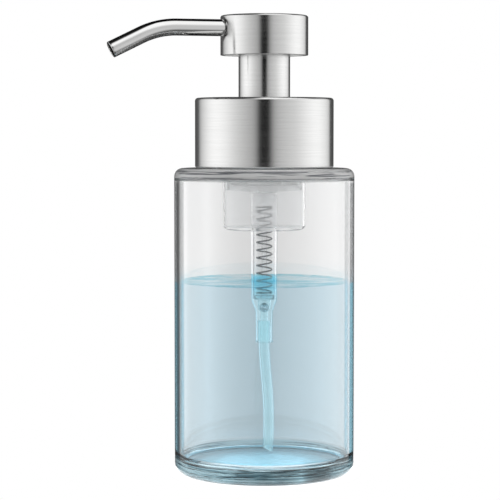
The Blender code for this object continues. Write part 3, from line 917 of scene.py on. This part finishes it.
def make_stem():
    stop_r, low, top = span("pump_stem")
    stop, grip, chamber = 119.2, 122.9, 129.6
    stem = lathe(
        "pump_stem_moulded",
        [
            (9.2, top, 0.3),
            (9.2, 134.0, 0.5),
            (6.2, 131.0, 0.6),
            (6.2, stop + 1.5, 0.4),
            (stop_r, stop + 1.5, 0.3),
            (stop_r, stop, 0.3),
            (6.5, stop, 0.2),
            (6.5, low + 1.3, 0.2),
            (9.0, low + 1.3, 0.3),
            (9.0, low, 0.3),
            (5.6, low, 0.2),
            (5.6, grip, 0.2),
            (3.4, grip, 0.2),
            (3.4, chamber, 0.2),
            (4.5, chamber + 0.9, 0.2),
            (4.5, 131.0, 0),
            (5.6, 134.0, 0),
            (5.6, 141.7, 0.2),
            (7.0, 141.7, 0.2),
            (7.0, top, 0.2),
        ],
        steps=3,
        segments=128,
    )
    channel_low, channel_high = grip - 0.5, chamber + 0.5
    middle, tall = (channel_low + channel_high) / 2, channel_high - channel_low
    port = low + 2.6
    tools = [
        box_tool((0, 0, middle), (9.0, 1.4, tall)),
        box_tool((0, 0, middle), (1.4, 9.0, tall)),
        rod_tool((-7, 0, port), (7, 0, port), 0.8, 24),
        rod_tool((0, -7, port), (0, 7, port), 0.8, 24),
    ]
    use(cut(stem, *tools), "head", "natural_plastic", WHITE_PLASTIC, "pump_stem")


def gauze(name, node):
    """A foam screen: a moulded rim with fine woven mesh stretched across it."""
    radius, low, high = span(node)
    middle, wire, pitch, inside = (low + high) / 2, 0.05, 0.5, 5.75
    parts = [
        lathe(
            "rim",
            [(radius, high, 0.08), (radius, low, 0.08), (5.4, low, 0.08), (5.4, high, 0.08)],
            steps=2,
            segments=64,
        )
    ]
    count = math.floor((inside - 0.2) / pitch)
    for across in (False, True):
        for k in range(-count, count + 1):
            offset = k * pitch
            half = math.sqrt(inside**2 - offset**2)
            along = np.linspace(-half, half, 3 * max(4, round(2 * half / pitch)))
            phase = np.pi * (along / pitch + k + (1 if across else 0))
            lift = middle + wire * np.cos(phase)
            side = np.full_like(along, offset)
            line = np.stack([side, along, lift] if across else [along, side, lift], -1)
            parts.append(swept("wire", line, wire_section(wire, pitch / 2.5), 5, closed=False))
    return joined(name, parts)


def make_foamer():
    radius, low, top = span("foam_cartridge")
    tube = lathe(
        "foam_cartridge_moulded",
        [(radius, top, 0.3), (radius, low, 0.3), (5.4, low, 0.3), (5.4, top, 0.3)],
        steps=4,
        segments=96,
    )
    use(tube, "head", "natural_plastic", WHITE_PLASTIC, "foam_cartridge")
    for name in ("lower", "upper"):
        use(gauze(f"{name}_screen", f"{name}_mesh"), "head", "natural_plastic", WHITE_PLASTIC, f"{name}_mesh")


# ---------------------------------------------------------------- head, spout and closure


SHEET = 0.6
SPOUT_R = 3.25
SPOUT_WALL = 0.5
SPOUT_Z = 172.8
SPOUT_ROOT_X = 9.0
SPOUT_BEND_X = 35.0
SPOUT_BEND_R = 32.0
SPOUT_DROOP = math.radians(26)
SPOUT_TIP = 13.0


def spout_line():
    """The spout's centre line: level out of the head, one even bend, then straight to its mouth."""
    level = [(-x, 0.0, SPOUT_Z) for x in np.linspace(SPOUT_ROOT_X, SPOUT_BEND_X, 14)]
    bend = []
    for angle in np.linspace(0, SPOUT_DROOP, 25)[1:]:
        x = SPOUT_BEND_X + SPOUT_BEND_R * math.sin(angle)
        bend.append((-x, 0.0, SPOUT_Z - SPOUT_BEND_R * (1 - math.cos(angle))))
    x, _, z = bend[-1]
    tip = [
        (x - t * math.cos(SPOUT_DROOP), 0.0, z - t * math.sin(SPOUT_DROOP))
        for t in np.linspace(0, SPOUT_TIP, 9)[1:]
    ]
    return np.array(level + bend + tip)


def make_head():
    radius, low, top = span("head_shell")
    inner, hole_r = radius - SHEET, SPOUT_R + GAP

    def drawn_in(r, z, angle):
        """Draws the sheet inwards round the spout, into a shallow dish."""
        away = np.hypot(r * np.sin(angle), z - SPOUT_Z)
        near = np.clip(1 - (away - hole_r) / 2.2, 0, 1) * (np.cos(angle) < 0) * (r > inner - 1)
        near = near * np.sqrt(np.clip((top - z) / 1.6, 0, 1))
        return r - 0.45 * near**2, z

    shell = lathe(
        "head_shell_steel",
        [
            (0.0, top, 0),
            (radius, top, 1.3),
            *stacked(radius, top - 1.7, SPOUT_Z - 7, 0.3),
            (radius, low, 0.18),
            (inner, low, 0.18),
            *reversed(stacked(inner, top - 1.7, SPOUT_Z - 7, 0.6)),
            (inner, top - SHEET, 0.7),
            (0.0, top - SHEET, 0),
        ],
        closed=False,
        steps=8,
        segments=2 * SEGMENTS,
        shape=drawn_in,
    )
    hole = rod_tool((-12, 0, SPOUT_Z), (-radius - 3, 0, SPOUT_Z), SPOUT_R + 0.35, 96)
    use(cut(shell, hole), "head", "brushed_steel", BRUSHED, "head_shell")

    core_r, core_low, core_top = span("head_core")
    stem_top = span("pump_stem")[2]
    sleeve_r, sleeve_low, sleeve_top = span("stem_sleeve")
    core = lathe(
        "head_core_moulded",
        [
            (0.0, core_top, 0),
            (core_r, core_top, 0.9),
            (core_r, core_low, 0.2),
            (sleeve_r + GAP, core_low, 0.2),
            (sleeve_r + GAP, sleeve_top + GAP, 0),
            (9.5, sleeve_top + GAP, 0.2),
            (9.5, stem_top + GAP, 0),
            (5.5, stem_top + GAP, 0.3),
            (5.5, SPOUT_Z + 3.1, 0.5),
            (0.0, SPOUT_Z + 3.1, 0),
        ],
        closed=False,
        steps=4,
        segments=128,
    )
    duct = rod_tool((-1, 0, SPOUT_Z), (-radius, 0, SPOUT_Z), SPOUT_R - SPOUT_WALL, 48)
    socket = rod_tool((GAP - SPOUT_ROOT_X, 0, SPOUT_Z), (-radius - 3, 0, SPOUT_Z), hole_r, 48)
    mouth = rod_tool((2.5 - core_r, 0, SPOUT_Z), (-radius - 3, 0, SPOUT_Z), SPOUT_R + 1.4, 48)
    use(cut(core, duct, socket, mouth), "head", "natural_plastic", WHITE_PLASTIC, "head_core")

    sleeve = lathe(
        "stem_sleeve_steel",
        [
            (sleeve_r, sleeve_top, 0.12),
            (sleeve_r, sleeve_low, 0.12),
            (sleeve_r - 0.5, sleeve_low, 0.12),
            (sleeve_r - 0.5, sleeve_top, 0.12),
        ],
        steps=4,
    )
    use(sleeve, "head", "brushed_steel", BRUSHED, "stem_sleeve")

    spout = swept(
        "spout_tube_steel",
        spout_line(),
        pipe_section(SPOUT_R, SPOUT_R - SPOUT_WALL, 0.15, 0.8),
        64,
    )
    use(spout, "head", "polished_steel", POLISHED, "spout_tube")


def make_closure():
    radius, low, top = span("collar_shell")
    inner, bore = radius - SHEET, 10.5
    collar = lathe(
        "collar_shell_steel",
        [
            (bore, top, 0.25),
            (radius, top, 1.2),
            (radius, low, 0.45),
            (24.8, low, 0.2),
            (24.8, low + SHEET, 0.2),
            (inner, low + SHEET, 0.6),
            (inner, top - SHEET, 0.6),
            (bore, top - SHEET, 0.25),
        ],
        steps=8,
    )
    use(collar, "closure", "brushed_steel", BRUSHED, "collar_shell")

    outer, low, top = span("closure_insert")
    web, ridge_bore = 141.3, 21.6

    def threaded(r, z, angle):
        on_bore = (np.abs(r - ridge_bore) < 0.01) & (z > low + 0.3) & (z < web - 1)
        low_turn = NECK_THREAD_Z - THREAD_PITCH / 2
        return r - on_bore * helix_rise(z, angle, low_turn, 1.1, 1.25), z

    insert = lathe(
        "closure_insert_moulded",
        [
            (bore, top, 0.3),
            (outer, top, 0.6),
            (outer, low, 0.2),
            (outer - 1.1, low, 0.2),
            (outer - 1.1, web - 1.8, 0.3),
            (ridge_bore + 1.6, web - 1.8, 0.3),
            (ridge_bore + 1.6, low, 0.2),
            (ridge_bore, low, 0.2),
            *reversed(stacked(ridge_bore, web - 0.6, low + 0.5, 0.35)),
            (ridge_bore, web, 0.3),
            (bore, web, 0.3),
        ],
        steps=4,
        shape=threaded,
    )
    use(insert, "closure", "natural_plastic", WHITE_PLASTIC, "closure_insert")


# ---------------------------------------------------------------- stage


FLOOR_R = 37 * MM
# How strongly the table top glows, painting its light and shade: a pool of light under the middle of the
# bottle, round that, a shadow under the heel, and outside
FLOOR_MIDDLE, FLOOR_ROUND, FLOOR_PAINTED_SHADOW, FLOOR_OUTSIDE = 2.35, 1.1, 0.3, 1.1
BRIGHTEST = 2.4
# Every studio light is given by its direction round the bottle, in degrees, with the camera at 0 and its
# right-hand side positive. What the steel mirrors at eye level: a dark slit in front, a broad soft light on
# each side, and darkness behind.
MIRRORED = [
    (-180, 0.08), (-150, 0.10), (-141, 0.14), (-134, 0.50), (-128, 0.72), (-118, 0.95), (-104, 1.22),
    (-92, 1.34), (-80, 1.33), (-66, 1.20), (-52, 0.97), (-40, 0.80), (-28, 0.65), (-19, 0.53), (-13, 0.34),
    (-8, 0.06), (-4, 0.0), (6, 0.0), (9, 0.10), (13, 0.30), (17, 0.49), (26, 0.66), (40, 0.78), (52, 0.87),
    (64, 1.02), (76, 1.18), (90, 1.31), (104, 1.31), (122, 1.08), (134, 0.80), (142, 0.1), (180, 0.06),
]
# What it mirrors from high up, and from low down
OVERHEAD = [
    (-180, 0.0), (-70, 0.02), (-45, 0.05), (-36, 0.26), (-22, 0.40), (-13, 1.1), (0, 1.3), (85, 1.2),
    (105, 0.02), (180, 0.0),
]
UNDERNEATH = [(-180, 0.0), (-105, 0.0), (-80, 0.08), (0, 0.14), (80, 0.08), (105, 0.0), (180, 0.0)]
# What shows through the glass: a pale backdrop between two narrow dark flags
BACKDROP = [
    (-180, 0.60), (-178.5, 0.64), (-177.4, 0.71), (-176, 0.84), (-174.7, 0.77), (-171, 0.71), (-169, 0.84),
    (-167, 0.92), (-165.5, 1.15), (-163.5, 1.55), (-161, 0.60), (-155, 0.26), (-149, 0.22), (-145, 0.30),
    (-141, 0.80), (-120, 1.4), (0, 1.4), (120, 1.4), (140, 1.2), (150, 1.25), (158, 1.40), (164, 1.40),
    (167, 1.0), (170, 0.80), (174, 0.81), (176, 0.80), (177.4, 0.74), (180, 0.60),
]
TABLE = [(-180, 0.62), (-90, 0.6), (0, 0.6), (90, 0.6), (180, 0.62)]


def make_world():
    world = bpy.data.worlds.new("studio")
    bpy.context.scene.world = world
    world.use_nodes = True
    tree = world.node_tree
    tree.nodes.clear()

    def node(kind, *values, **settings):
        made = tree.nodes.new(kind)
        for key, value in settings.items():
            setattr(made, key, value)
        for socket, value in zip(made.inputs, values):
            if isinstance(value, bpy.types.NodeSocket):
                tree.links.new(value, socket)
            elif value is not None:
                socket.default_value = value
        return made

    def step(value, low, high):
        made = node("ShaderNodeMapRange", value, low, high, interpolation_type="SMOOTHSTEP")
        return made.outputs["Result"]

    def mix(share, a, b):
        made = node("ShaderNodeMix", data_type="RGBA")
        for socket, value in zip((made.inputs[0], made.inputs[6], made.inputs[7]), (share, a, b)):
            tree.links.new(value, socket)
        return made.outputs[2]

    direction = node("ShaderNodeTexCoord").outputs["Generated"]
    turned = node("ShaderNodeVectorRotate", direction, rotation_type="Z_AXIS")
    turned.inputs["Angle"].default_value = -VIEW_AZIMUTH
    x, y, z = node("ShaderNodeSeparateXYZ", turned.outputs[0]).outputs
    front = node("ShaderNodeMath", y, -1.0, operation="MULTIPLY").outputs[0]
    angle = node("ShaderNodeMath", x, front, operation="ARCTAN2").outputs[0]
    share = node("ShaderNodeMath", angle, 0.5 / math.pi, 0.5, operation="MULTIPLY_ADD").outputs[0]

    def ring(stops):
        """A grey light that changes round the horizon."""
        made = node("ShaderNodeValToRGB", share)
        elements = made.color_ramp.elements
        while len(elements) < len(stops):
            elements.new(0.5)
        for index, (degrees, light) in enumerate(stops):
            elements[index].position = degrees / 360 + 0.5
            elements[index].color = (light / BRIGHTEST, light / BRIGHTEST, light / BRIGHTEST, 1)
        return made.outputs[0]

    below = node("ShaderNodeMath", z, -1.0, operation="MULTIPLY").outputs[0]
    mirrored = mix(step(z, 0.25, 0.75), ring(MIRRORED), ring(OVERHEAD))
    mirrored = mix(step(below, 0.3, 0.8), mirrored, ring(UNDERNEATH))
    path = node("ShaderNodeLightPath").outputs
    through = mix(step(below, 0.22, 0.5), ring(BACKDROP), ring(TABLE))
    around = mix(path["Is Transmission Ray"], mirrored, through)
    studio = node("ShaderNodeBackground", around, BRIGHTEST).outputs[0]
    white = node("ShaderNodeBackground", (1.0, 1.0, 1.0, 1.0), 1.0).outputs[0]
    both = node("ShaderNodeMixShader", path["Is Camera Ray"], studio, white).outputs[0]
    node("ShaderNodeOutputWorld", both)


def make_floor():
    """A pale round table top whose glow paints the light through the bottle and the shadow where the heel
    stands on it.
    """
    floor = lathe(
        "floor",
        [(0.0, -0.05, 0), (FLOOR_R / MM, -0.05, 0)],
        closed=False,
        segments=96,
    )
    m = Material("floor", base_color=(0.85, 0.86, 0.87), roughness=0.9, specular_ior_level=0.0)
    m.set("Emission Color", (1.0, 1.0, 1.0))
    middle = m.by_radius(15.5, 21.0, FLOOR_MIDDLE - FLOOR_ROUND, 0.0, True)
    around = m.by_radius(22.5, 27.0, FLOOR_ROUND, FLOOR_PAINTED_SHADOW, True)
    outer = m.by_radius(31.0, 32.5, 0.0, FLOOR_OUTSIDE - FLOOR_PAINTED_SHADOW)
    # The emission strength paints the pool of light and the shadow under the heel.
    m.set("Emission Strength", m.total(middle, around, outer))
    floor.data.materials.append(m.material)


def make_camera():
    data = bpy.data.cameras.new("camera")
    data.lens = CAMERA_LENS
    data.sensor_width = 36.0
    data.clip_start, data.clip_end = 0.01, 10.0
    camera = bpy.data.objects.new("camera", data)
    bpy.context.scene.collection.objects.link(camera)
    a = VIEW_AZIMUTH
    camera.location = (math.sin(a) * CAMERA_DISTANCE, -math.cos(a) * CAMERA_DISTANCE, CAMERA_HEIGHT)
    camera.rotation_euler = (math.pi / 2 - CAMERA_PITCH, 0.0, a + CAMERA_YAW)
    bpy.context.scene.camera = camera


def set_colours_and_bounces():
    scene = bpy.context.scene
    scene.view_settings.view_transform = "Standard"
    scene.view_settings.look = "None"
    scene.cycles.max_bounces = 40
    scene.cycles.transmission_bounces = 40
    scene.cycles.transparent_max_bounces = 40


make_camera()
make_bottle()
make_soap()
make_pump_body()
make_dip_tube()
make_ball()
make_rod()
make_spring()
make_pistons()
make_stem()
make_foamer()
make_head()
make_closure()
make_floor()
make_world()
set_colours_and_bounces()
